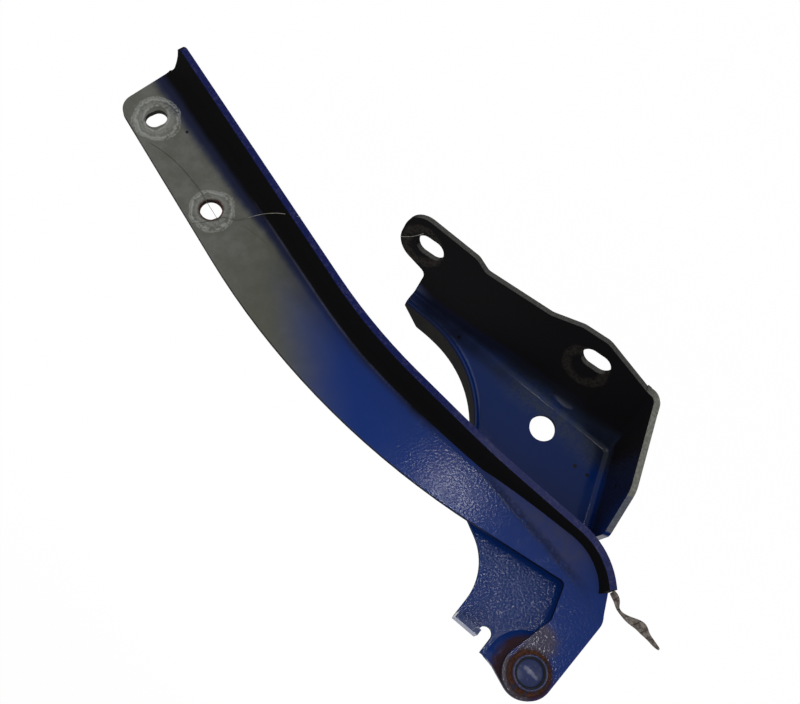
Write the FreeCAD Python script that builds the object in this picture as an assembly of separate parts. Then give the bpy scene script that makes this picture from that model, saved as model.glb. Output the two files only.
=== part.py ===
import FreeCAD, Part
import math
import os
from FreeCAD import Placement, Rotation, Vector

# A car hood hinge: a pressed arm that carries the hood, a pressed bracket that bolts to the body,
# and one rivet between them. It is drawn flat, seen along the rivet: x runs forward along the
# bracket's long bend, y runs up, z comes towards the side that the flanges stand on, and the
# rivet's axis is x = y = 0. The bracket web's front face is z = 0. The finished pieces are then
# turned so that the slotted flange lies flat with its slots along X. Lengths are in millimetres
# and angles in degrees.

# Sheets
bracket_sheet = 3.2
arm_sheet = 3.6

# Rivet, washers and bearing
rivet_r = 5.0
rivet_head_r = 8.4
rivet_head_rise = 3.4
rivet_rim_rise = 2.7
rivet_rim_width = 1.1
rivet_rim_chamfer = 0.35
rivet_groove_width = 0.6
rivet_groove_depth = 1.2
rivet_tail_r = 8.0
rivet_tail_flat_r = 4.0
rivet_tail_rise = 3.2
rivet_tail_edge = 1.3
spacer_r = 10.5
spacer_thick = 0.8
front_washer_r = 10.5
front_washer_thick = 0.8
bush_wall = 1.2
bush_flange_r = 8.8
bush_flange_thick = 0.8
running_clearance = 0.05
end_play = 0.1

# Bracket pivot end, pressed forward round the rivet
joggle_rise = 5.5
joggle_top_r = 16.4
joggle_foot_r = 20.6
bracket_eye_r = 12.5

# Bracket web
mount_bend_y = -117.5
side_bend_x = 31.8
side_bend_turn = -69.7
web_hole_x = 66.0
web_hole_y = -104.0
web_hole_r = 7.1
concave_start_x = 163.5
concave_gap = 6.5
concave_r = 64.0
concave_corner_x = 110.8
waist_x = 71.6
waist_y = -43.4
waist_r = 8.0
nose_x = 43.0
nose_y = -28.6
nose_r = 30.0
shoulder_x = 20.5
shoulder_y = 5.4
shoulder_r = 2.5

# Bracket flanges
bend_r = 3.0
corner_r = 4.0
mount_open = 20.0
side_open = 4.0
slot_width = 11.5
slot_length = 16.5
front_slot_x = 168.0
front_slot_up = 33.2
rear_slot_x = 67.7
rear_slot_up = 44.2
ear_gap = 16.5
ear_gap_r = 4.0
ear_low_up = 21.0
ear_tip_x = 185.3
ear_r = 12.0
front_edge_up = 47.8
dip_x = 137.0
dip_up = 44.2
dip_run = 7.5
dip_r = 5.0
step_x = 99.0
step_up = 49.6
step_r = 8.0
crown_front_x = 83.0
crown_front_up = 56.8
crown_x = 68.5
crown_up = 58.8
crown_r = 8.0
corner_x = 39.0
corner_up = 49.8
corner_turn_r = 6.0
side_crown_back = 30.5
side_crown_r = 8.0
side_toe_back = 49.5
side_toe_up = 26.0
side_toe_r = 6.0
back_bend_r = 1.0
back_flange_drop = 22.0
back_flange_tail = 6.0
back_edge_front_x = 152.0
back_edge_end_drop = 4.0
back_edge_rear_x = 82.0
back_edge_rear_drop = 12.0

# Stop tab and the relief notch beside it
tab_top_y = 2.0
tab_rise = 10.0
tab_bend_r = 1.0
notch_x = 26.0
notch_width = 7.0
notch_floor_y = -6.5

# Hood arm. Its flange runs from a foot line on the web's back face to a free edge
arm_flange_rise = 20.0
arm_bend_r = 4.5
arm_bend_lean = 10.0
arm_bend_steps = 6
arm_tip_round = 5.0
arm_end_x = 341.5
arm_end_y = -126.5
arm_foot_bow_x = 159.0
arm_foot_bow_y = -70.7
arm_foot_mid_y = -66.8
arm_edge_x = 336.0
arm_edge_y = -132.3
arm_edge_bow_x = 163.0
arm_edge_bow_y = -78.5
arm_edge_mid_y = -70.6
arm_bow_r = 300.0
arm_mid_x = 80.0
arm_mid_r = 600.0
arm_heel_x = 5.1
arm_heel_y = -68.5
arm_heel_r = 40.0
arm_stop_x = -7.6
arm_stop_y = -54.5
facet_rise = 16.0
facet_reach = 72.0
facet_front_x = 65.6
facet_front_y = -58.9
facet_rear_x = -9.7
facet_rear_y = -46.2
arm_tip_x = 348.0
arm_tip_y = -89.6
arm_tip_r = 9.0
arm_back_x = 159.4
arm_back_y = -25.8
arm_back_r = 420.0
leg_front_x = 11.4
leg_front_y = -45.6
leg_front_r = 3.0
leg_waist_x = 6.0
leg_waist_y = -27.0
leg_waist_r = 2.0
leg_rear_x = -14.6
leg_rear_y = -41.5
leg_rear_r = 9.0
arm_eye_r = 12.7
end_relief_r = 3.5
end_relief_x = 343.2
end_relief_y = -126.6
hood_hole_x = 270.3
hood_hole_y = -77.2
hood_hole_r = 5.75
hood_slot_x = 327.3
hood_slot_y = -97.1
hood_slot_width = 9.0
hood_slot_length = 11.7

# Strip of dried sealer on the lower end of the arm's flange
shred_thick = 1.8
shred_z = 21.0
shred_outline = [
    (-7.6, -54.9, 0), (-11.6, -53.6, 1.5), (-11.6, -49.6, 1), (-16.1, -48.9, 6), (-21.2, -50.1, 6),
    (-27.5, -52.3, 2), (-32.8, -49.0, 8), (-40.6, -47.2, 0.8), (-38.3, -45.3, 0.8), (-31.4, -46.7, 6),
    (-25.8, -46.2, 8), (-19.9, -46.1, 4), (-13.7, -48.1, 6), (-9.6, -50.2, 1), (-6.0, -51.0, 0),
]

# Worked out from the values above
lap = 2.0
margin = 1.0
past = 100.0
run_on = 280.0
beyond = 400.0
arm_back_z = joggle_rise + spacer_thick + end_play
arm_front_z = arm_back_z + arm_sheet
bush_front_z = arm_front_z + bush_flange_thick
head_seat_z = bush_front_z + end_play + front_washer_thick
bush_r = rivet_r + running_clearance + bush_wall
joggle_back_z = joggle_rise - bracket_sheet
concave_y = mount_bend_y + concave_gap
slot_gap_x = front_slot_x - rear_slot_x
slot_gap_up = front_slot_up - rear_slot_up
slot_turn = math.degrees(math.atan2(slot_gap_up, slot_gap_x))
hood_line_turn = math.degrees(math.atan2(hood_slot_y - hood_hole_y, hood_slot_x - hood_hole_x))
mount_lean = math.radians(mount_open)
side_lean = math.radians(side_open)
corner_z = corner_up * math.cos(mount_lean)


def direction(turn):
    angle = math.radians(turn)
    return Vector(math.cos(angle), math.sin(angle), 0)


def right_of(along):
    return Vector(along.y, -along.x, 0)


def crossing(point_a, along_a, point_b, along_b):
    """Where two lines in the drawing plane cross."""
    gap = point_b - point_a
    scale = along_a.x * along_b.y - along_a.y * along_b.x
    step = (gap.x * along_b.y - gap.y * along_b.x) / scale
    return point_a + along_a * step


def tangent_point(x, y, radius, side):
    """Where a line from (x, y) touches a circle of this radius about the rivet."""
    turn = math.atan2(y, x) + side * math.acos(radius / math.hypot(x, y))
    return (radius * math.cos(turn), radius * math.sin(turn), 0)


def rounded(points, closed=True):
    """A wire through corners (x, y, radius), each corner turned on an arc of its radius."""
    corners = [Vector(x, y, 0) for x, y, _ in points]
    count = len(points)
    spans = []
    edges = []
    for i, (_, _, radius) in enumerate(points):
        here = corners[i]
        if radius == 0:
            spans.append((here, here))
            continue
        to_before = (corners[i - 1] - here).normalize()
        to_after = (corners[(i + 1) % count] - here).normalize()
        half = to_before.getAngle(to_after) / 2
        reach = radius / math.tan(half)
        start = here + to_before * reach
        end = here + to_after * reach
        middle = here + (to_before + to_after).normalize() * (radius / math.sin(half) - radius)
        spans.append((start, end))
        edges.append(Part.Arc(start, middle, end).toShape())
    for i in range(count if closed else count - 1):
        start = spans[i][1]
        end = spans[(i + 1) % count][0]
        if (end - start).Length > 1e-6:
            edges.append(Part.LineSegment(start, end).toShape())
    return Part.Wire(Part.__sortEdges__(edges))


def plate(points, low, high):
    """A flat sheet with a rounded outline, from z = low to z = high."""
    face = Part.Face(rounded(points))
    face.translate(Vector(0, 0, low))
    return face.extrude(Vector(0, 0, high - low))


def disc(radius, low, high, x=0.0, y=0.0):
    return Part.makeCylinder(radius, high - low, Vector(x, y, low))


def turned(profile):
    """A solid turned about the rivet's axis from its (radius, z) corners."""
    corners = [Vector(r, 0, z) for r, z in profile]
    face = Part.Face(Part.makePolygon(corners + corners[:1]))
    return face.revolve(Vector(0, 0, 0), Vector(0, 0, 1), 360)


def slot(x, y, width, length, turn, low, high):
    """A cutter for a round-ended slot."""
    half = (length - width) / 2
    radius = width / 2
    ends = [disc(radius, low, high, side, 0) for side in (-half, half)]
    middle = Part.makeBox(2 * half, width, high - low, Vector(-half, -radius, low))
    body = middle.fuse(ends).removeSplitter()
    body.Placement = Placement(Vector(x, y, 0), Rotation(Vector(0, 0, 1), turn))
    return body


def shifted(points, step):
    """The same rounded path moved to the right of its run by step."""
    corners = [Vector(x, y, 0) for x, y, _ in points]
    runs = [(b - a).normalize() for a, b in zip(corners, corners[1:])]
    first = corners[0] + right_of(runs[0]) * step
    last = corners[-1] + right_of(runs[-1]) * step
    moved = [(first.x, first.y, 0)]
    for i in range(1, len(points) - 1):
        before = runs[i - 1]
        after = runs[i]
        to_before = corners[i] + right_of(before) * step
        corner = crossing(to_before, before, corners[i] + right_of(after) * step, after)
        turn = before.x * after.y - before.y * after.x
        moved.append((corner.x, corner.y, points[i][2] + math.copysign(step, turn * step)))
    moved.append((last.x, last.y, 0))
    return moved


def edges_at(shape, point):
    """The edges of a shape that pass through a point."""
    mark = Part.Vertex(point)
    return [edge for edge in shape.Edges if edge.distToShape(mark)[0] < 1e-3]


def bend_start(sheet, radius, opening):
    """How far inside the outer mould line a bend begins."""
    turn = math.radians(90 - opening)
    return (radius + sheet) * math.tan(turn / 2)


def bent_edge(path, sheet, radius, opening, rise, inner_z, side, up):
    """A flange and its bend, swept along the outer mould line on the web's outer face.

    side is +1 where the flange's outside lies to the right of the path. up is +1 where the flange
    stands towards +z and -1 where it is turned back. inner_z is the web face inside the bend.
    """
    lean = math.radians(opening)
    outer = radius + sheet
    centre = -bend_start(sheet, radius, opening)
    length = (rise - outer + outer * math.sin(lean)) / math.cos(lean)
    middle = -(math.pi / 2 + lean) / 2
    start = Vector(path[0][0], path[0][1], 0)
    out = right_of((Vector(path[1][0], path[1][1], 0) - start).normalize()) * side

    def at(o, w):
        return start + out * o + Vector(0, 0, inner_z + w * up)

    def on_bend(r, angle, run=0.0):
        o = centre + r * math.cos(angle) + run * math.sin(lean)
        return at(o, radius + r * math.sin(angle) + run * math.cos(lean))

    corners = [at(centre - lap, -sheet), at(centre, -sheet)]
    corners += [on_bend(outer, -lean), on_bend(outer, -lean, length)]
    corners += [on_bend(radius, -lean, length), on_bend(radius, -lean)]
    corners += [at(centre, 0), at(centre - lap, 0)]
    edges = [
        Part.LineSegment(corners[0], corners[1]).toShape(),
        Part.Arc(corners[1], on_bend(outer, middle), corners[2]).toShape(),
        Part.LineSegment(corners[2], corners[3]).toShape(),
        Part.LineSegment(corners[3], corners[4]).toShape(),
        Part.LineSegment(corners[4], corners[5]).toShape(),
        Part.Arc(corners[5], on_bend(radius, middle), corners[6]).toShape(),
        Part.LineSegment(corners[6], corners[7]).toShape(),
        Part.LineSegment(corners[7], corners[0]).toShape(),
    ]
    sweep = Part.BRepOffsetAPI.MakePipeShell(rounded(path, False))
    sweep.setBiNormalMode(Vector(0, 0, 1))
    sweep.add(Part.Wire(edges))
    sweep.build()
    sweep.makeSolid()
    body = sweep.shape()
    return body if body.Volume > 0 else body.reversed()


def flange_frame(base, along, lean):
    """Places a drawing of (along the bend, up the flange, outward) on a flange's inner face."""
    tip = right_of(along) * math.sin(lean) + Vector(0, 0, math.cos(lean))
    out = along.cross(tip)
    return Placement(FreeCAD.Matrix(
        along.x, tip.x, out.x, base.x,
        along.y, tip.y, out.y, base.y,
        along.z, tip.z, out.z, base.z,
        0, 0, 0, 1))


mount_along = Vector(1, 0, 0)
side_along = direction(side_bend_turn)
bend_corner = Vector(side_bend_x, mount_bend_y, 0)
mount_frame = flange_frame(Vector(0, mount_bend_y, 0), mount_along, mount_lean)
side_frame = flange_frame(bend_corner, side_along, side_lean)
toe = bend_corner - side_along * side_toe_back


def flat_sided(low_ring, high_ring):
    """A flat-sided solid between two rings of corners, which run clockwise as seen from above."""
    faces = [Part.Face(Part.makePolygon(ring + ring[:1])) for ring in (low_ring, high_ring)]
    for i in range(len(low_ring)):
        side = [low_ring[i - 1], low_ring[i], high_ring[i], high_ring[i - 1]]
        faces.append(Part.Face(Part.makePolygon(side + side[:1])))
    skin = Part.makeCompound(faces)
    skin.sewShape()
    return Part.Solid(skin.Shells[0])


def tub(grow, low, high, radius, corner_radius):
    """The space inside the web and its two bent flanges, grown outwards from their inner faces."""
    rings = []
    for z in (low, high):
        mount_out = z * math.tan(mount_lean) + grow / math.cos(mount_lean)
        side_out = z * math.tan(side_lean) + grow / math.cos(side_lean)
        on_mount = bend_corner + right_of(mount_along) * mount_out
        on_side = bend_corner + right_of(side_along) * side_out
        corner = crossing(on_mount, mount_along, on_side, side_along)
        top = crossing(Vector(0, beyond, 0), mount_along, on_side, side_along)
        ring = [corner, top, Vector(beyond, beyond, 0), Vector(beyond, corner.y, 0)]
        rings.append([point + Vector(0, 0, z) for point in ring])
    block = flat_sided(rings[0], rings[1])
    upright = (rings[0][0] + rings[1][0]) * 0.5
    foot = (rings[0][0] + rings[0][-1]) * 0.5
    block = block.makeFillet(corner_radius, edges_at(block, upright))
    return block.makeFillet(radius, edges_at(block, foot))


def concave_path():
    return [(concave_start_x, concave_y, 0), (concave_corner_x, concave_y, concave_r), (waist_x, waist_y, 0)]


def back_flange_path():
    """The stretch of the concave edge that is bent back: to just past the end of its curve."""
    front, corner, waist = [Vector(x, y, 0) for x, y, _ in concave_path()]
    run = (waist - corner).normalize()
    half = run.getAngle(front - corner) / 2
    end = corner + run * (concave_r / math.tan(half) + back_flange_tail)
    return concave_path()[:2] + [(end.x, end.y, 0)]


def bracket_plan():
    """The bracket's plan outline. It runs on past the bent edges, which have outlines of their own."""
    inside = shifted(concave_path(), -bend_start(bracket_sheet, back_bend_r, 0) - lap / 2)
    tab_foot_y = tab_top_y - bend_start(bracket_sheet, tab_bend_r, 0) - lap / 2
    past_toe = toe + right_of(side_along) * past
    return [
        (beyond / 2, -beyond / 2, 0),
        (beyond / 2, mount_bend_y, 0),
        (concave_start_x, mount_bend_y, 0),
        inside[0],
        inside[1],
        (waist_x, waist_y, waist_r),
        (nose_x, nose_y, nose_r),
        (nose_x, tab_foot_y, 0),
        (notch_x, tab_foot_y, 0),
        (notch_x, shoulder_y, 0),
        (shoulder_x, shoulder_y, shoulder_r),
        tangent_point(shoulder_x, shoulder_y, bracket_eye_r, 1),
        (0, 0, 0),
        tangent_point(toe.x, toe.y, bracket_eye_r, -1),
        (toe.x, toe.y, 0),
        (past_toe.x, past_toe.y, 0),
    ]


def mount_outline():
    """The slotted flange's outline, as distance along its bend and distance up the flange."""
    return [
        (-past, -past, 0),
        (concave_start_x, -past, 0),
        (concave_start_x, ear_gap, ear_gap_r),
        (ear_tip_x, ear_low_up, ear_r),
        (ear_tip_x, front_edge_up, ear_r),
        (dip_x + dip_run, front_edge_up, dip_r),
        (dip_x, dip_up, dip_r),
        (step_x, step_up, step_r),
        (crown_front_x, crown_front_up, crown_r),
        (crown_x, crown_up, crown_r),
        (corner_x, corner_up, corner_turn_r),
        (-past, corner_up, 0),
    ]


def side_outline():
    """The side flange's outline, drawn like the slotted one, from its toe to past the corner."""
    edge_up = corner_z / math.cos(side_lean)
    return [
        (-side_toe_back, -past, 0),
        (past, -past, 0),
        (past, edge_up, 0),
        (-side_crown_back, edge_up, side_crown_r),
        (-side_toe_back, side_toe_up, side_toe_r),
    ]


def back_edge_cutter():
    """Trims the back flange's free edge, which is deepest near its front end."""
    corners = [
        (concave_start_x + lap, -bracket_sheet),
        (concave_start_x, -bracket_sheet - back_edge_end_drop),
        (back_edge_front_x, -bracket_sheet - back_flange_drop + lap),
        (back_edge_rear_x, -bracket_sheet - back_edge_rear_drop),
        (back_edge_rear_x, -past),
        (concave_start_x + lap, -past),
    ]
    points = [Vector(x, -2 * past, z) for x, z in corners]
    face = Part.Face(Part.makePolygon(points + points[:1]))
    return face.extrude(Vector(0, 2 * past, 0))


def make_bracket():
    depth = past
    plan = bracket_plan()
    shell = tub(bracket_sheet, -bracket_sheet, depth, bend_r + bracket_sheet, corner_r + bracket_sheet)
    shell = shell.cut(tub(0, 0, depth + margin, bend_r, corner_r))
    reach = corner_r + margin
    mount_slab = plate(mount_outline(), -reach, bracket_sheet + margin)
    mount_slab.Placement = mount_frame
    side_slab = plate(side_outline(), -reach, bracket_sheet + margin)
    side_slab.Placement = side_frame
    low_corner = Vector(-beyond, -beyond / 2, -bracket_sheet - margin)
    low = Part.makeBox(beyond + concave_start_x, beyond, bracket_sheet + margin, low_corner)
    above = Part.makeBox(beyond, 2 * beyond, beyond, Vector(corner_x - beyond, -beyond, corner_z))
    keep = low.fuse([mount_slab, side_slab]).cut(above)
    body = shell.common(plate(plan, -depth, depth)).common(keep)
    eye = disc(bracket_eye_r, -bracket_sheet, joggle_rise)
    leg = plate([
        (toe.x, toe.y, 0),
        tangent_point(toe.x, toe.y, bracket_eye_r, -1),
        (0, 0, 0),
        (waist_x, waist_y - waist_r, 0),
    ], -bracket_sheet, 0)
    body = body.fuse([disc(bracket_eye_r, -bracket_sheet, 0), leg])
    joggle = turned([
        (0, joggle_back_z), (joggle_top_r, joggle_back_z), (joggle_foot_r, -bracket_sheet),
        (joggle_foot_r, 0), (joggle_top_r, joggle_rise), (0, joggle_rise)])
    around = plate(plan, -bracket_sheet, joggle_rise).fuse(eye)
    body = body.cut(disc(joggle_foot_r, -past, past)).fuse(joggle.common(around))
    path = back_flange_path()
    back = bent_edge(path, bracket_sheet, back_bend_r, 0, back_flange_drop, -bracket_sheet, 1, -1)
    body = body.fuse(back.cut(back_edge_cutter()))
    tab_path = [(nose_x, tab_top_y, 0), (notch_x, tab_top_y, 0)]
    body = body.fuse(bent_edge(tab_path, bracket_sheet, tab_bend_r, 0, tab_rise + bracket_sheet, 0, 1, 1))
    notch_mid_y = notch_floor_y + notch_width / 2
    cutters = [
        disc(notch_width / 2, -depth, depth, notch_x, notch_mid_y),
        Part.makeBox(notch_width, depth, 2 * depth, Vector(notch_x - notch_width / 2, notch_mid_y, -depth)),
        disc(web_hole_r, -depth, margin, web_hole_x, web_hole_y),
        disc(rivet_r, -depth, depth),
    ]
    for x, up in ((front_slot_x, front_slot_up), (rear_slot_x, rear_slot_up)):
        cutter = slot(x, up, slot_width, slot_length, slot_turn, -margin, bracket_sheet + margin)
        cutter.Placement = mount_frame.multiply(cutter.Placement)
        cutters.append(cutter)
    return body.cut(cutters).removeSplitter()


def arm_line(end_x, end_y, bow_x, bow_y, mid_y):
    """One edge of the arm's flange, run on past both of its ends."""
    bow = Vector(bow_x, bow_y, 0)
    heel = Vector(arm_heel_x, arm_heel_y, 0)
    start = bow + (Vector(end_x, end_y, 0) - bow).normalize() * run_on
    stop = heel + (Vector(arm_stop_x, arm_stop_y, 0) - heel).normalize() * run_on
    return [
        (start.x, start.y, 0),
        (bow_x, bow_y, arm_bow_r),
        (arm_mid_x, mid_y, arm_mid_r),
        (arm_heel_x, arm_heel_y, arm_heel_r),
        (stop.x, stop.y, 0),
    ]


def arm_levels(floor_z, bend_r):
    """Heights of the arm's section, with how far its bend stands in from the wall at each."""
    top_z = arm_back_z + arm_flange_rise
    if bend_r == 0:
        return [(floor_z, 0), (top_z, 0)]
    lean = math.radians(arm_bend_lean)
    centre = bend_r * (1 / math.cos(lean) - math.tan(lean))
    levels = []
    for i in range(arm_bend_steps + 1):
        turn = (math.pi / 2 - lean) * i / arm_bend_steps
        height = bend_r * (1 - math.cos(turn))
        levels.append((floor_z + height, centre + height * math.tan(lean) - bend_r * math.sin(turn)))
    return levels + [(top_z, 0)]


def arm_space(inset, floor_z, bend_r, below):
    """The space on the open side of the arm's web and flange, inset from their back faces."""
    foot = arm_line(arm_end_x, arm_end_y, arm_foot_bow_x, arm_foot_bow_y, arm_foot_mid_y)
    edge = arm_line(arm_edge_x, arm_edge_y, arm_edge_bow_x, arm_edge_bow_y, arm_edge_mid_y)
    wires = []
    for z, bend in arm_levels(floor_z, bend_r):
        share = (z - arm_back_z) / arm_flange_rise
        path = []
        for (foot_x, foot_y, radius), (edge_x, edge_y, _) in zip(foot, edge):
            path.append((foot_x + (edge_x - foot_x) * share, foot_y + (edge_y - foot_y) * share, radius))
        wire = rounded(shifted(path, inset + bend) + [(-beyond, beyond, 0), (beyond, beyond, 0)])
        wire.translate(Vector(0, 0, z))
        wires.append(wire)
    block = Part.makeLoft(wires, True, True)
    front = Vector(facet_front_x, facet_front_y, arm_front_z)
    crease = (Vector(facet_rear_x, facet_rear_y, arm_front_z) - front).normalize()
    under = Part.makeBox(beyond, beyond, beyond, Vector(-facet_reach, -beyond / 2, -beyond - below))
    turn = math.degrees(math.atan2(crease.y, crease.x))
    tilt = Rotation(Vector(0, 0, 1), turn).multiply(Rotation(Vector(1, 0, 0), facet_rise))
    under.Placement = Placement(front, tilt)
    return block.cut(under)


def flange_tip_cutter(top_z):
    """Rounds the top corner at the hood end of the arm's flange."""
    reach = arm_flange_rise
    low_corner = Vector(arm_tip_round - reach, -reach, -arm_tip_round)
    corner = Part.makeBox(reach, 2 * reach, arm_tip_round + margin, low_corner)
    across = Vector(0, 1, 0)
    bar = Part.makeCylinder(arm_tip_round, 2 * reach, Vector(arm_tip_round, -reach, -arm_tip_round), across)
    cutter = corner.cut(bar)
    run = math.degrees(math.atan2(arm_edge_bow_y - arm_edge_y, arm_edge_bow_x - arm_edge_x))
    cutter.Placement = Placement(Vector(arm_end_x, arm_edge_y, top_z), Rotation(Vector(0, 0, 1), run))
    return cutter


def make_arm():
    top_z = arm_back_z + arm_flange_rise
    outer = arm_space(0, arm_back_z, arm_bend_r + arm_sheet, arm_sheet)
    inner = arm_space(arm_sheet, arm_front_z, arm_bend_r, 0)
    shell = outer.cut(inner)
    stop = Vector(arm_stop_x, arm_stop_y, 0)
    run = (stop - Vector(arm_heel_x, arm_heel_y, 0)).normalize()
    past_stop = stop - right_of(run) * past / 2
    plan = [
        (arm_end_x, arm_end_y, 0),
        (arm_end_x - end_relief_r, arm_end_y - arm_flange_rise, 0),
        (past_stop.x, arm_end_y - arm_flange_rise, 0),
        (past_stop.x, past_stop.y, 0),
        (stop.x, stop.y, 0),
        (leg_rear_x, leg_rear_y, leg_rear_r),
        tangent_point(leg_rear_x, leg_rear_y, arm_eye_r, -1),
        (0, 0, 0),
        tangent_point(leg_waist_x, leg_waist_y, arm_eye_r, 1),
        (leg_waist_x, leg_waist_y, leg_waist_r),
        (leg_front_x, leg_front_y, leg_front_r),
        (arm_back_x, arm_back_y, arm_back_r),
        (arm_tip_x, arm_tip_y, arm_tip_r),
    ]
    body = shell.common(plate(plan, arm_back_z - margin, top_z + margin))
    body = body.fuse(disc(arm_eye_r, arm_back_z, arm_front_z))
    web = arm_space(-past, arm_back_z, 0, arm_sheet).cut(arm_space(-past, arm_front_z, 0, 0))
    beside = Part.makeBox(past, past, past, Vector(0, -past / 2, 0))
    beside.Placement = Placement(stop, Rotation(Vector(0, 0, 1), math.degrees(math.atan2(run.y, run.x))))
    low = arm_back_z - margin
    high = arm_front_z + margin
    cross_turn = hood_line_turn + 90
    cutters = [
        beside.cut(web),
        flange_tip_cutter(top_z),
        disc(end_relief_r, low, top_z + margin, end_relief_x, end_relief_y),
        disc(bush_r, low, high),
        disc(hood_hole_r, low, high, hood_hole_x, hood_hole_y),
        slot(hood_slot_x, hood_slot_y, hood_slot_width, hood_slot_length, cross_turn, low, high),
    ]
    return body.cut(cutters).removeSplitter()


def make_rivet():
    rim_z = head_seat_z + rivet_rim_rise
    groove_z = rim_z - rivet_groove_depth
    top_z = head_seat_z + rivet_head_rise
    tail_z = joggle_back_z - rivet_tail_rise
    rim_in = rivet_head_r - rivet_rim_width
    groove_r = rim_in - rivet_groove_width
    points = [Vector(r, 0, z) for r, z in (
        (0, tail_z),
        (rivet_tail_flat_r, tail_z),
        (rivet_tail_r, joggle_back_z - rivet_tail_edge),
        (rivet_tail_r, joggle_back_z),
        (rivet_r, joggle_back_z),
        (rivet_r, head_seat_z),
        (rivet_head_r, head_seat_z),
        (rivet_head_r, rim_z - rivet_rim_chamfer),
        (rivet_head_r - rivet_rim_chamfer, rim_z),
        (rim_in + rivet_rim_chamfer, rim_z),
        (rim_in, rim_z - rivet_rim_chamfer),
        (rim_in, groove_z),
        (groove_r, groove_z))]
    edges = [Part.LineSegment(a, b).toShape() for a, b in zip(points, points[1:])]
    crown = Vector(0, 0, top_z)
    dome_height = top_z - groove_z
    dome_r = (groove_r**2 + dome_height**2) / (2 * dome_height)
    half_turn = math.asin(groove_r / dome_r) / 2
    dome_mid = Vector(dome_r * math.sin(half_turn), 0, top_z - dome_r * (1 - math.cos(half_turn)))
    edges.append(Part.Arc(points[-1], dome_mid, crown).toShape())
    edges.append(Part.LineSegment(crown, points[0]).toShape())
    face = Part.Face(Part.Wire(edges))
    return face.revolve(Vector(0, 0, 0), Vector(0, 0, 1), 360)


def make_bush():
    sleeve = disc(bush_r, arm_back_z, arm_front_z).fuse(disc(bush_flange_r, arm_front_z, bush_front_z))
    bore = disc(rivet_r + running_clearance, arm_back_z - margin, bush_front_z + margin)
    return sleeve.cut(bore).removeSplitter()


def ring(radius, low, high):
    return disc(radius, low, high).cut(disc(rivet_r, low - margin, high + margin))


mounting = mount_frame.multiply(Placement(
    Vector((front_slot_x + rear_slot_x) / 2, (front_slot_up + rear_slot_up) / 2, bracket_sheet),
    Rotation(Vector(0, 0, 1), slot_turn).multiply(Rotation(Vector(1, 0, 0), 180))))
to_mount = mounting.inverse()

hood_arm = make_arm()
pieces = {
    "body_bracket": make_bracket(),
    "hood_arm": hood_arm,
    "pivot_rivet": make_rivet(),
    "pivot_bush": make_bush(),
    "spacer_washer": ring(spacer_r, joggle_rise, joggle_rise + spacer_thick),
    "front_washer": ring(front_washer_r, head_seat_z - front_washer_thick, head_seat_z),
    "sealer_shred": plate(shred_outline, shred_z, shred_z + shred_thick).cut(hood_arm),
}

os.makedirs("parts", exist_ok=True)
for name, shape in pieces.items():
    shape.Placement = to_mount.multiply(shape.Placement)
    shape.exportStep(f"parts/{name}.step")
    print(name, shape.isValid(), len(shape.Solids), round(shape.Volume))
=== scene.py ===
import math
import random

import bpy
import bmesh
from mathutils import Matrix, Vector


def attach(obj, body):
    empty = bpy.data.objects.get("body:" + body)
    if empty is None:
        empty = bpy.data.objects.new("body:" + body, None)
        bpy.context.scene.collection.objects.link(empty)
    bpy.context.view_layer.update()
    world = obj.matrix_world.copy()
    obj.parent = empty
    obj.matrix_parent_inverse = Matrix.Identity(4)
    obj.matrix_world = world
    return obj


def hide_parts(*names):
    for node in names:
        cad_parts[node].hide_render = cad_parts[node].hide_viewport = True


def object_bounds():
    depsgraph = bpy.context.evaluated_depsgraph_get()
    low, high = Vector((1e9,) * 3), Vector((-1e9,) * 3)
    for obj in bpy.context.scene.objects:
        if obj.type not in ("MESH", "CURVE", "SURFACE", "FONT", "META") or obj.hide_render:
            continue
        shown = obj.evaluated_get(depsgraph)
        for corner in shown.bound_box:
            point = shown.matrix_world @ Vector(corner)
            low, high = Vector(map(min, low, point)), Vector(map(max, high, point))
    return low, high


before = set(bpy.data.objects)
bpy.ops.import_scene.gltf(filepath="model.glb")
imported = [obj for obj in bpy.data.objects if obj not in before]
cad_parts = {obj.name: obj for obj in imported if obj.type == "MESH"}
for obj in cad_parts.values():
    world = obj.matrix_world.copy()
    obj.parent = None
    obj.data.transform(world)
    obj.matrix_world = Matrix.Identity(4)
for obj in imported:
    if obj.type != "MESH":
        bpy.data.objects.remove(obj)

# A car hood hinge on its own: dark blue paint over grey and black primer, with rust round the
# rivet and a strip of dried sealer on the arm.

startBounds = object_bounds()
random.seed(7)

# The drawing of the hinge: x along the bracket's long bend, y up, z towards the viewer, from the rivet
drawing = {
    "origin": Vector((-0.108548, 0.091265, 0.113614)),
    "x": Vector((0.99404, -0.109017, 0.0)),
    "y": Vector((0.037286, 0.339982, 0.939693)),
    "z": Vector((-0.102443, -0.934092, 0.34202)),
}


def drawn(x, y, z):  # millimetres of the drawing to a place in the scene
    return drawing["origin"] + (drawing["x"] * x + drawing["y"] * y + drawing["z"] * z) / 1000


class Wire:
    def __init__(self, shader, socket):
        self.shader = shader
        self.socket = socket

    def maths(self, operation, first, second=0.0):
        return self.shader.node("ShaderNodeMath", {"operation": operation}, {0: first, 1: second})

    def __add__(self, other):
        return self.maths("ADD", self, other)

    def __radd__(self, other):
        return self.maths("ADD", other, self)

    def __sub__(self, other):
        return self.maths("SUBTRACT", self, other)

    def __rsub__(self, other):
        return self.maths("SUBTRACT", other, self)

    def __mul__(self, other):
        return self.maths("MULTIPLY", self, other)

    def __rmul__(self, other):
        return self.maths("MULTIPLY", other, self)

    def __truediv__(self, other):
        return self.maths("DIVIDE", self, other)

    def __pow__(self, other):
        return self.maths("POWER", self, other)

    def __abs__(self):
        return self.maths("ABSOLUTE", self)


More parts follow.
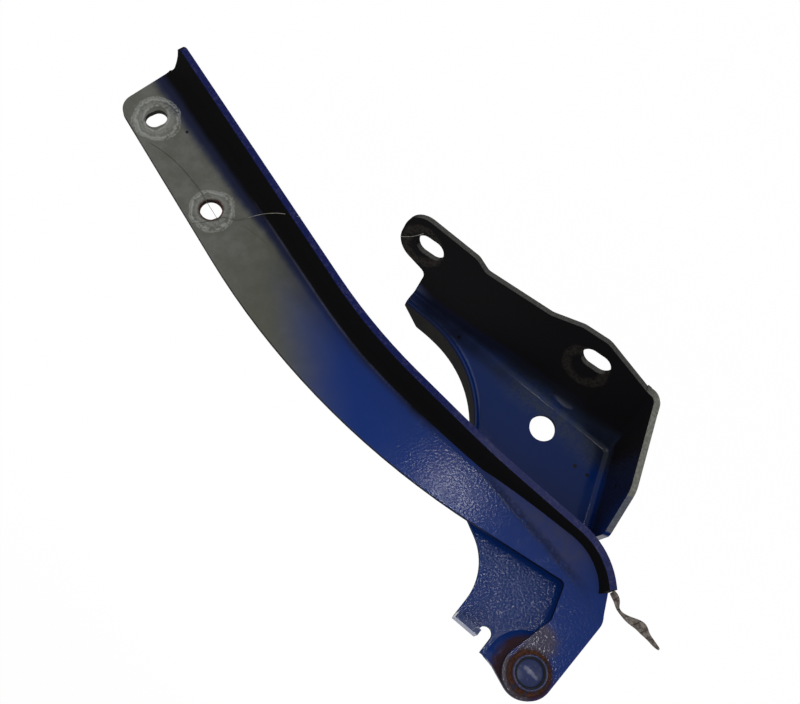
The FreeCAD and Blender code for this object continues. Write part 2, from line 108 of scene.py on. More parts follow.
class Shader:
    def __init__(self, holder):  # a material or a world
        holder.use_nodes = True
        self.holder = holder
        self.tree = holder.node_tree
        self.surface = self.tree.nodes.get("Principled BSDF")

    def node(self, kind, settings, inputs, output=0):
        made = self.tree.nodes.new(kind)
        for key, value in settings.items():
            setattr(made, key, value)
        for key, value in inputs.items():
            self.feed(made.inputs[key], value)
        return Wire(self, made.outputs[output])

    def feed(self, socket, value):
        if isinstance(value, Wire):
            self.tree.links.new(value.socket, socket)
        else:
            socket.default_value = value

    def put(self, name, value):
        self.feed(self.surface.inputs[name], value)

    def dullWhere(self, mask, shared):  # the same surface without gloss where the mask is 1
        gloss = Wire(self, self.surface.outputs[0])
        inputs = {**shared, "Roughness": 0.9, "Specular IOR Level": 0.04}
        dull = self.node("ShaderNodeBsdfPrincipled", {}, inputs)
        both = self.node("ShaderNodeMixShader", {}, {0: mask, 1: gloss, 2: dull})
        self.feed(self.tree.nodes["Material Output"].inputs["Surface"], both)

    def objectPlace(self):
        return self.node("ShaderNodeTexCoord", {}, {}, "Object")

    def objectNormal(self):
        return self.node("ShaderNodeTexCoord", {}, {}, "Normal")

    def dot(self, vector, direction):
        settings = {"operation": "DOT_PRODUCT"}
        return self.node("ShaderNodeVectorMath", settings, {0: vector, 1: direction}, "Value")

    def mixed(self, mask, colourA, colourB):
        made = self.tree.nodes.new("ShaderNodeMix")
        made.data_type = "RGBA"
        made.clamp_factor = True
        self.feed(made.inputs[0], mask)
        self.feed(made.inputs[6], colourA)
        self.feed(made.inputs[7], colourB)
        return Wire(self, made.outputs[2])

    def ramp(self, value, low, high):  # 0 below low, 1 above high, smooth between
        settings = {"interpolation_type": "SMOOTHSTEP", "clamp": True}
        return self.node("ShaderNodeMapRange", settings, {0: value, 1: low, 2: high, 3: 0.0, 4: 1.0})

    def ring(self, away, edges):  # 1 between the two middle edges, 0 outside the two outer ones
        start, full, fading, end = edges
        return self.ramp(away, start, full) * self.ramp(away, end, fading)

    def noise(self, place, scale, detail=3.0, roughness=0.5):
        inputs = {"Vector": place, "Scale": scale, "Detail": detail, "Roughness": roughness}
        return self.node("ShaderNodeTexNoise", {}, inputs)

    def bump(self, height, distance, strength=1.0):
        inputs = {"Height": height, "Distance": distance, "Strength": strength}
        return self.node("ShaderNodeBump", {}, inputs)

    def onDrawing(self, place, axes="xyz"):  # the drawing's own coordinates, in millimetres
        settings = {"operation": "SUBTRACT"}
        moved = self.node("ShaderNodeVectorMath", settings, {0: place, 1: drawing["origin"]})
        return [self.dot(moved, drawing[axis] * 1000) for axis in axes]

    def reach(self, x, y, centre):  # distance from a point of the drawing
        return ((x - centre[0]) ** 2 + (y - centre[1]) ** 2) ** 0.5


def either(*masks):  # the union of masks
    left = 1
    for mask in masks:
        left = left * (1 - mask)
    return 1 - left


def wavy(value, noise, amount):  # a noise moves the value by up to half the amount each way
    return value + (noise - 0.5) * amount


def colour(red, green, blue):  # a colour written as it looks, 0 to 255
    linear = []
    for level in (red, green, blue):
        level = level / 255
        linear.append(level / 12.92 if level <= 0.04045 else ((level + 0.055) / 1.055) ** 2.4)
    return (*linear, 1.0)


def dress(nodeName, material):
    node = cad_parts[nodeName]
    node.data.materials.clear()
    node.data.materials.append(material)
    print("dressed", nodeName)


def orangePeel(shader, place, look, share):  # the fine pebble of sprayed paint
    coarse = shader.noise(place, look["peelScale"], 1.0, 0.5)
    return shader.bump(coarse * share, look["peelDepth"])


armLook = {
    "blue": colour(4, 38, 102),
    "blueLow": colour(10, 38, 98),
    # a dark navy, in part painted shade, for the fade at the flange's foot
    "fadeBlueShade": colour(8, 14, 40),
    "grey": colour(94, 95, 91),
    "greyDark": colour(84, 85, 79),
    "greyLow": colour(74, 75, 66),
    # black primer, also the colour of the painted shade inside the flange and on the cut edges
    "innerBlackAndShade": colour(10, 10, 11),
    "rim": colour(20, 27, 72),
    # pale speckle for the flange's free edge: painted glints
    "rimGlint": colour(62, 60, 92),
    "imprint": colour(142, 144, 140),
    "rust": colour(56, 34, 24),
    "stain": colour(66, 57, 56),
    "facetDust": colour(48, 50, 76),
    # painted shade for the valley beside the crease
    "creaseShade": colour(10, 18, 44),
    "holeRust": colour(52, 30, 24),
    "peelScale": 820.0,
    "peelDepth": 0.000045,
    "roughness": 0.12,
    "specular": 0.12,
    # the lines where the flange's foot and the crease run: a point and a slope, on the drawing
    "footPoint": (0.0, -22.14),
    "footSlope": 0.3055,
    "footLevel": -67.0,
    "footBlend": 18.0,
    "creasePoint": (65.6, -58.9),
    "creaseSlope": 0.1687,
    # a span runs from where a look is absent to where it is full; these count from the flange's foot
    "primerBand": (8.0, 14.0),
    "fadeBand": (14.0, 6.0),
    "blackBand": (8.0, 4.0),
    "blueFadeBand": (30.0, 15.0),
    # and these run along the arm
    "primerSpan": (92.0, 156.0),
    "lowBlueSpan": (110.0, 20.0),
    "lowGreySpan": (240.0, 190.0),
    "blueFadeSpan": (150.0, 230.0),
    "bandSpan": (60.0, 130.0),
    "bandWidens": (170.0, 320.0),
    "legSpan": (24.0, 2.0),
    # the two hood holes, and the edges of the rings and the haze printed round them
    "holes": {"near": (270.3, -77.2), "far": (327.3, -97.1)},
    "outerPrint": (9.4, 11.4, 11.9, 12.9),
    "innerPrint": (5.6, 6.6, 7.2, 8.8),
    "printHaze": (5.6, 7.0, 10.0, 12.6),
    "printTurns": 3.1,
    "holeRustRadii": (7.6, 5.9),
    # a dark speck, and a short scratch along x
    "speck": (310.2, -102.2),
    "speckRadii": (1.1, 0.5),
    "scratchHeight": -81.6,
    "scratchEdges": (229.0, 232.0, 250.0, 254.0),
    "scratchWidths": (0.6, 0.1),
    # dust beyond the crease, and painted shade in the valley beside it
    "dustEdges": (-6.0, 20.0, 60.0, 92.0),
    "dustFromCrease": (-2.0, 4.0),
    "valleyWidths": (3.4, 0.6),
    # rust round the rivet, a stained spot below it on the drawing, and a stain above it
    "rustRadii": (13.4, 10.0),
    "stainSpot": (5.0, -15.0),
    "stainRadii": (13.0, 5.0),
    "tipSpan": (3.0, 9.0),
    "tipRadii": (30.0, 15.0),
    # z of the flange's free edge, of the web's face, and down its cut edge
    "rimHeights": (25.6, 26.2),
    "faceHeights": (9.9, 10.1),
    "edgeHeights": (10.4, 9.6),
}


def fromLine(x, y, point, slope):  # how far a point lies above a falling line of the drawing
    return (y - point[1] + (x - point[0]) * slope) * (1 / math.hypot(1.0, slope))


def footDistance(shader, x, y):  # how far a point of the web lies from the foot of the flange
    look = armLook
    sloping = fromLine(x, y, look["footPoint"], look["footSlope"])
    level = y - look["footLevel"]
    inputs = {0: sloping, 1: level, 2: look["footBlend"]}
    return shader.node("ShaderNodeMath", {"operation": "SMOOTH_MAX"}, inputs)


def armPrimer(s, look, x, y, broad, mottle):
    # Grey primer at the hood end, fading into blue down the arm and into black at the flange; the dark
    # fade and black band at the flange's foot are part primer, part painted shade
    foot = footDistance(s, x, y)
    primer = s.ramp(wavy(x + y * 1.1, broad, 20.0), *look["primerSpan"])
    blueShare = s.ramp(wavy(x, broad, 30.0), *look["lowBlueSpan"])
    blue = s.mixed(blueShare, look["blue"], look["blueLow"])
    grey = s.mixed(s.ramp(mottle, 0.35, 0.7), look["greyDark"], look["grey"])
    greyShare = s.ramp(wavy(x + y * 0.4, broad, 40.0), *look["lowGreySpan"])
    grey = s.mixed(greyShare * 0.7, grey, look["greyLow"])
    width = 0.6 + s.ramp(x, *look["bandWidens"]) * 0.55
    band = wavy(wavy(foot, mottle, 2.0), broad, 4.0) / width
    primer = primer * s.ramp(band, *look["primerBand"])
    # painted shade mixed with primer: a navy fade and a black band along the flange's foot
    blueFade = s.ramp(x, *look["blueFadeSpan"]) * s.ramp(band, *look["blueFadeBand"])
    blue = s.mixed(blueFade * 0.85, blue, look["fadeBlueShade"])
    base = s.mixed(primer, blue, grey)
    bandShare = s.ramp(x, *look["bandSpan"])
    fading = s.ramp(band, *look["fadeBand"]) * bandShare
    base = s.mixed(fading * 0.8, base, look["fadeBlueShade"])
    footBlackAndShade = s.ramp(band, *look["blackBand"]) * bandShare
    return s.mixed(footBlackAndShade, base, look["innerBlackAndShade"]), either(primer, footBlackAndShade)


def armPrints(s, look, base, x, y, broad, mottle, fine):
    # Prints that the hood's bolts and washers left round the two holes
    prints = 0.0
    for centre in look["holes"].values():
        away = wavy(wavy(s.reach(x, y, centre), mottle, 6.0), broad, 6.0)
        turns = s.ramp(away.maths("SINE", away * look["printTurns"]), -0.6, 0.7) * 0.5 + 0.5
        outer = s.ring(away, look["outerPrint"])
        inner = s.ring(away, look["innerPrint"]) * 0.7
        haze = s.ring(away, look["printHaze"]) * 0.35
        prints = either(prints, either(outer, inner, haze) * turns)
    prints = prints * s.ramp(wavy(fine, mottle, 0.8), 0.26, 0.56)
    base = s.mixed(prints * 0.9, base, look["imprint"])
    speck = s.ramp(s.reach(x, y, look["speck"]), *look["speckRadii"])
    base = s.mixed(speck, base, look["innerBlackAndShade"])
    besideScratch = abs(wavy(y - look["scratchHeight"], broad, 4.0))
    scratch = s.ramp(besideScratch, *look["scratchWidths"]) * s.ring(x, look["scratchEdges"])
    base = s.mixed(scratch * 0.6, base, look["greyLow"])
    holeAway = s.reach(x, y, look["holes"]["near"])
    inHole = s.ramp(holeAway, *look["holeRustRadii"]) * s.ramp(mottle, 0.3, 0.55)
    return s.mixed(inHole, base, look["holeRust"]), prints


def makeArmPaint():
    look = armLook
    s = Shader(bpy.data.materials.new("armPaint"))
    place = s.objectPlace()
    normal = s.objectNormal()
    x, y, z = s.onDrawing(place)
    facing = s.dot(normal, drawing["z"])
    broad = s.noise(place, 28.0, 3.0)
    mottle = s.noise(place, 130.0, 4.0, 0.6)
    fine = s.noise(place, 700.0, 3.0, 0.6)
    base, primed = armPrimer(s, look, x, y, broad, mottle)
    base, prints = armPrints(s, look, base, x, y, broad, mottle, fine)

    # Dust on the sloped stretch beyond the crease, and painted shade in the valley beside it
    crease = fromLine(x, y, look["creasePoint"], look["creaseSlope"]) * -1
    dustHere = s.ring(x, look["dustEdges"])
    facet = s.ramp(wavy(crease, mottle, 3.0), *look["dustFromCrease"]) * dustHere
    base = s.mixed(facet * (0.45 + s.ramp(mottle, 0.35, 0.65) * 0.3), base, look["facetDust"])
    besideValley = abs(wavy(crease - 1.0, mottle, 3.0))
    valleyShade = s.ramp(besideValley, *look["valleyWidths"]) * s.ramp(fine, 0.3, 0.55) * dustHere
    base = s.mixed(valleyShade * 0.8, base, look["creaseShade"])

    # Rust round the rivet, and stains beside it
    rivetAway = wavy(wavy(s.reach(x, y, (0.0, 0.0)), mottle, 5.0), broad, 6.0)
    rust = s.ramp(rivetAway, *look["rustRadii"])
    base = s.mixed(rust * 0.9, base, look["rust"])
    patchAway = wavy(wavy(s.reach(x, y, look["stainSpot"]), mottle, 9.0), broad, 8.0)
    base = s.mixed(s.ramp(patchAway, *look["stainRadii"]) * 0.7, base, look["stain"])
    tip = s.ramp(wavy(y + x * 0.5, mottle, 4.0), *look["tipSpan"])
    base = s.mixed(tip * s.ramp(rivetAway, *look["tipRadii"]) * 0.7, base, look["stain"])

    # The flange is black inside, black primer with painted shade, and painted on its free edge with
    # painted glints; the sheet's cut edges are blackened as painted shade
    rim = s.ramp(z, *look["rimHeights"]) * s.ramp(facing, 0.6, 0.85)
    turned = s.ramp(facing, 0.94, 0.84) * s.ramp(s.dot(normal, drawing["y"]), -0.25, -0.1)
    inner = turned * s.ramp(z, *look["faceHeights"]) * (1 - rim)
    base = s.mixed(inner, base, look["innerBlackAndShade"])
    # painted glints: pale speckle on the flange's free edge
    rimPaint = s.mixed(s.ramp(wavy(fine, mottle, 0.5), 0.45, 0.75) * 0.5, look["rim"], look["rimGlint"])
    base = s.mixed(rim, base, rimPaint)
    # painted shade: the sheet's cut edges are blackened
    wall = s.ramp(abs(facing), 0.62, 0.42)
    sheetEdgeShade = wall * s.ramp(z, *look["edgeHeights"])
    base = s.mixed(sheetEdgeShade * 0.85, base, look["innerBlackAndShade"])

    pebble = 1.0 + s.ramp(x + y * 0.4, *look["legSpan"]) * 0.9
    shared = {"Base Color": base, "Normal": orangePeel(s, place, look, pebble)}
    s.put("Base Color", base)
    s.put("Normal", shared["Normal"])
    s.put("Roughness", look["roughness"] + facet * 0.25 + s.ramp(mottle, 0.5, 0.7) * 0.06)
    s.put("Specular IOR Level", look["specular"])
    s.dullWhere(either(primed, inner, rust, prints, sheetEdgeShade), shared)
    return s.holder


bracketLook = {
    "blue": colour(4, 32, 86),
    # a lighter blue low on the web: a painted sheen
    "blueLow": colour(12, 40, 96),
    # black primer, also the colour of painted shade on the flange's inside and the web's cut edge
    "blackAndShade": colour(11, 10, 12),
    "dust": colour(24, 29, 42),
    "webDust": colour(50, 58, 70),
    "cornerDark": colour(18, 21, 26),
    # painted shade for the inside of the side flange
    "sideShadeNavy": colour(12, 14, 28),
    "rim": colour(70, 71, 68),
    "sideRim": colour(114, 114, 107),
    "back": colour(58, 56, 50),
    "rust": colour(48, 31, 23),
    "print": colour(46, 42, 38),
    "peelScale": 900.0,
    "peelDepth": 0.00008,
    "roughness": 0.11,
    "specular": 0.12,
    # z on the slotted flange where the black begins, and its rise per millimetre of x short of the ear
    "blackFrom": 6.0,
    "blackRise": 0.115,
    "earStart": 150.0,
    # a span runs from where a look is absent to where it is full; these count from the black's edge
    "blackSpan": (-3.0, 2.0),
    "fringeSpan": (-17.0, -6.0),
    "fringeBlackSpan": (-12.0, -3.0),
    # these run across the web and its bends, mostly along y
    "bendSpan": (-108.0, -116.0),
    "fringeAcross": (-106.0, -113.0),
    "spillAcross": (-100.0, -114.0),
    "cornerSpan": (-84.0, -97.0),
    "navySpan": (-48.0, -78.0),
    "rearSpan": (-104.0, -114.0),
    "blueLowSpan": (-80.0, -20.0),
    "lowWebSpan": (-62.0, -46.0),
    # these along x
    "fringeAlong": (185.0, 150.0),
    "spillAlong": (125.0, 85.0),
    "sideRimSpan": (44.0, 30.0),
    # and these along z: the side flange, the free edges, the back, and the web's cut edge
    "sideHeights": (3.0, 9.0),
    "rimHeights": (9.0, 12.0),
    "backHeights": (-3.8, -5.2),
    "webEdgeHeights": (1.5, -0.5),
    # pits in the web as x, y and radius, and washer prints as x and the way up the leaning flange
    "pits": ((41.1, -98.9, 0.9), (33.5, -99.3, 0.8), (129.7, -113.6, 0.8)),
    "slotPrints": ((70.0, 37.0), (172.0, 31.0)),
    "pitHeights": (-1.0, -0.2),
    "slotPrintEdges": (6.0, 9.0, 11.5, 13.5),
    "flangeLean": 20.0,
    "rustRadii": (21.0, 14.5),
    "rustHeights": (1.0, 5.0),
}


def bracketFlanges(s, look, base, x, y, z, onSide, noises):
    # Black primer up the slotted flange, deepened by painted shade on its inside, with dust where it
    # meets the blue of the web
    broad, mottle, fine = noises
    atFlange = s.ramp(y, *look["bendSpan"])
    beyondEar = s.node("ShaderNodeMath", {"operation": "MAXIMUM"}, {0: look["earStart"] - x, 1: 0.0})
    over = wavy(wavy(z - (look["blackFrom"] + beyondEar * look["blackRise"]), broad, 7.0), mottle, 4.0)
    blackAndShade = s.ramp(over, *look["blackSpan"]) * atFlange
    fringe = s.ramp(over, *look["fringeSpan"]) * s.ramp(y, *look["fringeAcross"])
    fringe = fringe * s.ramp(x, *look["fringeAlong"])
    spill = s.ramp(wavy(y, broad, 20.0), *look["spillAcross"]) * s.ramp(x, *look["spillAlong"])
    base = s.mixed(spill * (0.25 + s.ramp(fine + mottle, 0.8, 1.15) * 0.5), base, look["webDust"])
    atCorner = s.ramp(wavy(wavy(y + x * 0.5, broad, 10.0), mottle, 6.0), *look["cornerSpan"])
    base = s.mixed(atCorner * 0.85, base, look["cornerDark"])
    fringeColour = s.mixed(s.ramp(over, *look["fringeBlackSpan"]), look["dust"], look["blackAndShade"])
    base = s.mixed(fringe * 0.9, base, fringeColour)
    base = s.mixed(blackAndShade, base, look["blackAndShade"])
    # painted shade: the inside of the side flange darkened to navy
    navyShade = onSide * s.ramp(wavy(y + z * 0.4, broad, 20.0), *look["navySpan"])
    base = s.mixed(navyShade, base, look["sideShadeNavy"])
    rearCorner = onSide * s.ramp(y, *look["rearSpan"])
    base = s.mixed(rearCorner, base, look["blackAndShade"])

    # Washer prints round the slots, and pits in the web
    up = z / math.cos(math.radians(look["flangeLean"]))
    for centre in look["slotPrints"]:
        away = wavy(s.reach(x, up, centre), mottle, 5.0)
        washer = s.ring(away, look["slotPrintEdges"]) * atFlange * s.ramp(fine, 0.3, 0.6)
        base = s.mixed(washer * 0.55, base, look["print"])
    for pitX, pitY, pitR in look["pits"]:
        pit = s.ramp(s.reach(x, y, (pitX, pitY)), pitR + 0.5, pitR - 0.2)
        pit = pit * s.ramp(z, *look["pitHeights"])
        base = s.mixed(pit, base, look["blackAndShade"])
    return base, either(blackAndShade, rearCorner, fringe)


def makeBracketPaint():
    look = bracketLook
    s = Shader(bpy.data.materials.new("bracketPaint"))
    place = s.objectPlace()
    normal = s.objectNormal()
    x, y, z = s.onDrawing(place)
    facing = s.dot(normal, drawing["z"])
    broad = s.noise(place, 30.0, 3.0)
    mottle = s.noise(place, 140.0, 4.0, 0.6)
    fine = s.noise(place, 760.0, 3.0, 0.6)
    onSide = s.ramp(s.dot(normal, drawing["x"]), 0.5, 0.8)
    onSide = onSide * s.ramp(wavy(z, mottle, 4.0), *look["sideHeights"])
    # painted sheen: the web turns a lighter blue towards the rivet
    blueShare = s.ramp(wavy(y, broad, 30.0), *look["blueLowSpan"])
    base = s.mixed(blueShare, look["blue"], look["blueLow"])
    base, blackened = bracketFlanges(s, look, base, x, y, z, onSide, (broad, mottle, fine))

    # Grey worn edges of the flanges, a mottled back, rust round the rivet, and black cut edges, which
    # are painted shade
    rim = s.ramp(z, *look["rimHeights"]) * s.ramp(facing, 0.5, 0.8)
    rimColour = s.mixed(s.ramp(x, *look["sideRimSpan"]), look["rim"], look["sideRim"])
    rimColour = s.mixed(s.ramp(fine, 0.62, 0.4) * 0.3, rimColour, look["blackAndShade"])
    base = s.mixed(rim, base, rimColour)
    back = s.ramp(z, *look["backHeights"])
    base = s.mixed(back, base, s.mixed(mottle, look["back"], look["blackAndShade"]))
    rivetAway = wavy(wavy(s.reach(x, y, (0.0, 0.0)), mottle, 9.0), broad, 8.0)
    rust = s.ramp(rivetAway, *look["rustRadii"]) * s.ramp(z, *look["rustHeights"])
    base = s.mixed(rust * 0.9, base, look["rust"])
    webEdgeShade = s.ramp(abs(facing), 0.5, 0.3) * s.ramp(z, *look["webEdgeHeights"])
    base = s.mixed(webEdgeShade * 0.7, base, look["blackAndShade"])

    pebble = 0.15 + s.ramp(y + x * 0.3, *look["lowWebSpan"]) * 2.2
    shared = {"Base Color": base, "Normal": orangePeel(s, place, look, pebble)}
    s.put("Base Color", base)
    s.put("Normal", shared["Normal"])
    s.put("Roughness", wavy(look["roughness"], mottle, 0.06))
    s.put("Specular IOR Level", look["specular"])
    s.dullWhere(either(blackened, rim, rust, webEdgeShade), shared)
    return s.holder


rivetLook = {
    "blue": colour(20, 32, 72),
    "worn": colour(74, 78, 98),
    # a painted highlight along the dome, and painted shade in the groove round it
    "highlightStreak": colour(116, 118, 136),
    "grooveShade": colour(12, 12, 18),
    "rust": colour(70, 46, 36),
    # radii of the groove's painted shade and of the rust round the head, and the width and reach of the
    # painted highlight streak
    "grooveEdges": (6.1, 6.6, 7.2, 7.7),
    "rustRadii": (8.0, 8.5),
    "streakWidths": (1.3, 0.3),
    "streakRadii": (5.0, 3.4),
    "peelScale": 1100.0,
    "peelDepth": 0.00007,
}


def makeRivetPaint():
    look = rivetLook
    s = Shader(bpy.data.materials.new("rivetPaint"))
    place = s.objectPlace()
    x, y = s.onDrawing(place, "xy")
    mottle = s.noise(place, 420.0, 4.0, 0.65)
    away = s.reach(x, y, (0.0, 0.0))
    base = s.mixed(s.ramp(mottle, 0.56, 0.72) * 0.6, look["blue"], look["worn"])
    # painted highlight: a bright streak across the dome
    highlightStreak = s.ramp(abs(wavy(y + x * 0.1, mottle, 3.0)), *look["streakWidths"])
    highlightStreak = highlightStreak * s.ramp(away, *look["streakRadii"])
    base = s.mixed(highlightStreak * 0.5, base, look["highlightStreak"])
    # painted shade in the groove round the head
    grooveShade = s.ring(away, look["grooveEdges"])
    base = s.mixed(grooveShade, base, look["grooveShade"])
    rust = s.ramp(wavy(away, mottle, 1.6), *look["rustRadii"])
    base = s.mixed(rust * 0.6, base, look["rust"])
    s.put("Base Color", base)
    s.put("Roughness", 0.3 + grooveShade * 0.3)
    s.put("Normal", orangePeel(s, place, look, 1.0))
    s.put("Specular IOR Level", 0.25)
    return s.holder


rustLook = {
    "dark": colour(38, 26, 21),
    "mid": colour(76, 45, 31),
    "paint": colour(42, 40, 54),
}


def makeRustySteel(name, paintShare):  # a larger share leaves more paint on the rust
    look = rustLook
    s = Shader(bpy.data.materials.new(name))
    place = s.objectPlace()
    grain = s.noise(place, 900.0, 5.0, 0.65)
    patch = s.noise(place, 160.0, 3.0, 0.5)
    base = s.mixed(s.ramp(grain, 0.35, 0.65), look["dark"], look["mid"])
    paintFrom = 0.66 - paintShare * 0.3
    base = s.mixed(s.ramp(patch, paintFrom, paintFrom + 0.08), base, look["paint"])
    s.put("Base Color", base)
    s.put("Roughness", wavy(0.8, grain, 0.2))
    s.put("Normal", s.bump(grain, 0.0002, 0.6))
    s.put("Specular IOR Level", 0.1)
    return s.holder


bushLook = {"bronze": colour(112, 84, 52), "grime": colour(40, 32, 26)}


def makeBronze():
    s = Shader(bpy.data.materials.new("bushBronze"))
    place = s.objectPlace()
    grime = s.noise(place, 500.0, 4.0, 0.6)
    s.put("Base Color", s.mixed(s.ramp(grime, 0.4, 0.6), bushLook["bronze"], bushLook["grime"]))
    s.put("Metallic", 0.7)
    s.put("Roughness", 0.5 + grime * 0.2)
    return s.holder


sealerLook = {
    "pale": colour(118, 111, 105),
    "dark": colour(72, 64, 60),
    # painted shade for the folds
    "crease": colour(38, 32, 31),
    "height": 21.9,
    # centre line x and y, half width, twist in degrees, rise in millimetres
    "spine": (
        (-6.9, -53.4, 1.5, 0, 0.0), (-9.6, -52.6, 1.9, 6, 0.1), (-11.4, -51.2, 1.5, 18, 0.2),
        (-12.9, -49.3, 0.8, 40, 0.3), (-14.6, -48.4, 0.6, 35, 0.2), (-17.2, -47.9, 0.9, 15, 0.1),
        (-20.4, -48.0, 1.7, -8, 0.0), (-23.6, -48.7, 2.3, -16, 0.1), (-26.8, -49.3, 2.9, -10, 0.3),
        (-28.9, -48.9, 2.6, 6, 0.2), (-31.6, -47.9, 1.5, 20, 0.1), (-34.6, -47.3, 1.2, 16, 0.0),
        (-37.6, -46.7, 1.1, 4, -0.1), (-40.2, -46.4, 0.6, 0, -0.1)),
    "thickness": 0.9,
    "across": 6,
}


def makeSealerStrip():
    look = sealerLook
    mesh = bpy.data.meshes.new("sealerStrip")
    builder = bmesh.new()
    spine = look["spine"]
    rows = []
    for i, (x, y, half, twist, rise) in enumerate(spine):
        before = spine[max(i - 1, 0)]
        after = spine[min(i + 1, len(spine) - 1)]
        run = Vector((after[0] - before[0], after[1] - before[1])).normalized()
        side = Vector((-run.y, run.x))
        row = []
        for j in range(look["across"] + 1):
            share = 2 * j / look["across"] - 1
            wave = 0.35 * math.sin(i * 2.1 + share * 2.6) + random.uniform(-0.12, 0.12)
            off = side * half * share
            lift = math.sin(math.radians(twist)) * half * share + rise + wave * (1 - abs(share) * 0.4)
            row.append(builder.verts.new(drawn(x + off.x, y + off.y, look["height"] + lift)))
        rows.append(row)
    for a, b in zip(rows, rows[1:]):
        for j in range(look["across"]):
            builder.faces.new((a[j], a[j + 1], b[j + 1], b[j]))
    builder.to_mesh(mesh)
    builder.free()
    strip = bpy.data.objects.new("sealerStrip", mesh)
    bpy.context.scene.collection.objects.link(strip)
    solid = strip.modifiers.new("solid", "SOLIDIFY")
    solid.thickness = look["thickness"] / 1000
    solid.offset = 0.0
    smooth = strip.modifiers.new("smooth", "SUBSURF")
    smooth.levels = 2
    smooth.render_levels = 2
    bpy.context.view_layer.objects.active = strip
    for name in ("solid", "smooth"):
        with bpy.context.temp_override(object=strip, active_object=strip):
            bpy.ops.object.modifier_apply(modifier=name)
    for face in strip.data.polygons:
        face.use_smooth = True

    s = Shader(bpy.data.materials.new("driedSealer"))
    place = s.objectPlace()
    x, y = s.onDrawing(place, "xy")
    mottle = s.noise(place, 420.0, 4.0, 0.6)
    grain = s.noise(place, 2200.0, 3.0, 0.6)
    base = s.mixed(s.ramp(mottle, 0.36, 0.62), look["dark"], look["pale"])
    # dark fold lines: painted shade in the folds, also pressed into the bump
    line = wavy(y * 0.5 - x, mottle, 2.0) * 0.6
    fold = s.ramp(abs(line.maths("SINE", line)), 0.16, 0.02)
    base = s.mixed(fold * 0.9, base, look["crease"])
    s.put("Base Color", base)
    s.put("Roughness", 0.85)
    s.put("Specular IOR Level", 0.15)
    s.put("Normal", s.bump(mottle + grain * 0.3 - fold * 0.6, 0.0006, 0.8))
    strip.data.materials.append(s.holder)
    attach(strip, "arm")
    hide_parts("sealer_shred")
    print("made sealer strip")


hairLook = {
    "colour": colour(150, 146, 136),
    "shade": colour(58, 56, 50),
    "radius": 0.00012,
    # a hair is paler above the first of these heights of the drawing, and darkest below the second, with
    # painted shade where it lies close to the paint
    "shadeHeights": (12.0, 10.5),
    # body, then the points in the drawing's millimetres
    "lines": {
        "hairLong": ("arm", (
            (319.7, -84.2, 10.1), (310.4, -85.6, 10.2), (297.6, -84.8, 10.2), (282.1, -81.7, 10.3),
            (273.2, -78.1, 11.0), (266.7, -76.3, 10.4), (262.0, -74.5, 10.2))),
        "hairAcross": ("arm", (
            (272.2, -64.9, 10.2), (267.3, -69.4, 10.4), (263.6, -78.2, 10.6), (256.4, -81.0, 10.3),
            (251.7, -88.1, 11.6), (246.2, -92.8, 16.0), (236.8, -96.7, 23.5), (228.3, -98.9, 27.4))),
        "hairOnEar": ("bracket", (
            (184.4, -126.2, 25.4), (180.1, -127.5, 29.0), (176.8, -129.0, 33.2), (174.6, -130.3, 36.8))),
    },
}


def makeHairs():
    look = hairLook
    s = Shader(bpy.data.materials.new("hairFibre"))
    place = s.objectPlace()
    shade = s.noise(place, 300.0)
    height = s.onDrawing(place, "z")[0]
    # painted shade on the hair low against the paint
    dark = s.ramp(height, *look["shadeHeights"])
    s.put("Base Color", s.mixed(s.ramp(shade + dark * 0.6, 0.3, 0.9), look["colour"], look["shade"]))
    s.put("Roughness", 0.6)
    for name, (body, points) in look["lines"].items():
        curve = bpy.data.curves.new(name, "CURVE")
        curve.dimensions = "3D"
        curve.bevel_depth = look["radius"]
        curve.bevel_resolution = 2
        spline = curve.splines.new("NURBS")
        spline.points.add(len(points) - 1)
        for point, spot in zip(spline.points, points):
            point.co = (*drawn(*spot), 1.0)
        spline.order_u = 3
        spline.use_endpoint_u = True
        curve.materials.append(s.holder)
        hair = bpy.data.objects.new(name, curve)
        bpy.context.scene.collection.objects.link(hair)
        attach(hair, body)
    print("made hairs")


studio = {
    "camera": Vector((-0.0731, -0.3817, 0.38691)),
    "cameraRight": Vector((-0.79943, -0.2503, -0.54613)),
    "cameraUp": Vector((0.56946, -0.60528, -0.55619)),
    "cameraBack": Vector((-0.19135, -0.75563, 0.62642)),
    "sensor": 36.0,
    "lens": 48.96,
    "floorDrop": 0.10,
    "floorSize": 6.0,
    "floorColour": colour(244, 244, 244),
    "floorSpeck": colour(214, 214, 214),
    "floorWhite": 0.98,
    "fill": 0.52,
    "lamps": (
        # name, place in the drawing in millimetres, size in metres, power in watts
        ("keyLamp", (74.0, -308.0, 1000.0), 0.05, 0.36),
        ("lowLamp", (-76.0, -166.0, 1000.0), 0.05, 0.8),
        ("backLamp", (60.0, 600.0, -600.0), 0.80, 4.0),
        ("sideLamp", (-700.0, -700.0, 700.0), 0.80, 4.6),
        ("topLamp", (600.0, 500.0, 700.0), 0.90, 4.2),
    ),
}


def seenDirectly(shader):  # 1 where a camera, glossy or transmission ray arrives
    kinds = ("Is Camera Ray", "Is Glossy Ray", "Is Transmission Ray")
    camera, glossy, clear = [shader.node("ShaderNodeLightPath", {}, {}, kind) for kind in kinds]
    return either(camera, glossy, clear)


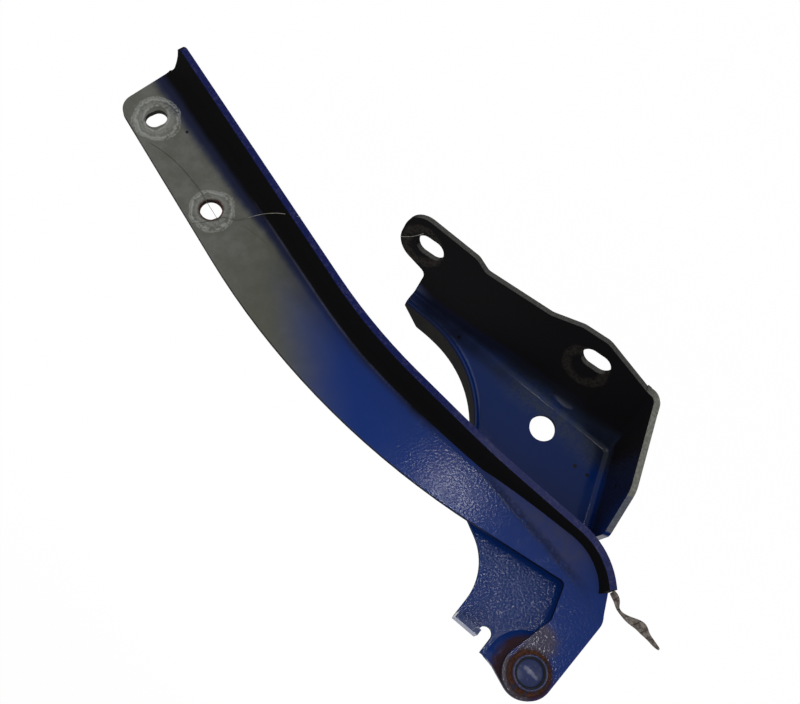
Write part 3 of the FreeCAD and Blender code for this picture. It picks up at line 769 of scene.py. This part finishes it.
def makeStudio():
    scene = bpy.context.scene
    camera = bpy.data.cameras.new("camera")
    camera.sensor_width = studio["sensor"]
    camera.sensor_fit = "HORIZONTAL"
    camera.lens = studio["lens"]
    camera.clip_start = 0.01
    holder = bpy.data.objects.new("camera", camera)
    turn = Matrix((studio["cameraRight"], studio["cameraUp"], studio["cameraBack"])).transposed()
    holder.matrix_world = Matrix.Translation(studio["camera"]) @ turn.to_4x4()
    scene.collection.objects.link(holder)
    scene.camera = holder

    middle = drawn(150, -60, 0)
    for name, (x, y, z), size, power in studio["lamps"]:
        lamp = bpy.data.lights.new(name, "AREA")
        lamp.shape = "DISK"
        lamp.size = size
        lamp.energy = power
        stand = bpy.data.objects.new(name, lamp)
        stand.location = drawn(x, y, z)
        stand.rotation_euler = (middle - stand.location).to_track_quat("-Z", "Y").to_euler()
        scene.collection.objects.link(stand)

    world = bpy.data.worlds.new("studio")
    scene.world = world
    sky = Shader(world)
    background = sky.tree.nodes["Background"]
    background.inputs["Color"].default_value = (1, 1, 1, 1)
    sky.feed(background.inputs["Strength"], seenDirectly(sky) * (1 - studio["fill"]) + studio["fill"])

    low = min(corner[2] for corner in startBounds) - studio["floorDrop"]
    mesh = bpy.data.meshes.new("floor")
    half = studio["floorSize"] / 2
    corners = [(-half, -half, low), (half, -half, low), (half, half, low), (-half, half, low)]
    mesh.from_pydata(corners, [], [(0, 1, 2, 3)])
    floor = bpy.data.objects.new("floor", mesh)
    scene.collection.objects.link(floor)
    s = Shader(bpy.data.materials.new("floorPaper"))
    speck = s.noise(s.objectPlace(), 40.0)
    s.put("Base Color", s.mixed(speck * 0.06, studio["floorColour"], studio["floorSpeck"]))
    s.put("Roughness", 0.9)
    s.put("Specular IOR Level", 0.1)
    white = s.node("ShaderNodeEmission", {}, {"Color": (1, 1, 1, 1), "Strength": 1.0})
    paper = Wire(s, s.surface.outputs[0])
    whiteShare = seenDirectly(s) * studio["floorWhite"]
    both = s.node("ShaderNodeMixShader", {}, {0: whiteShare, 1: paper, 2: white})
    s.feed(s.tree.nodes["Material Output"].inputs["Surface"], both)
    mesh.materials.append(s.holder)
    scene.view_settings.view_transform = "Standard"
    print("made studio")


makeStudio()
dress("hood_arm", makeArmPaint())
dress("body_bracket", makeBracketPaint())
dress("pivot_rivet", makeRivetPaint())
dress("front_washer", makeRustySteel("washerRust", 0.5))
dress("spacer_washer", makeRustySteel("spacerRust", 0.2))
dress("pivot_bush", makeBronze())
makeSealerStrip()
makeHairs()
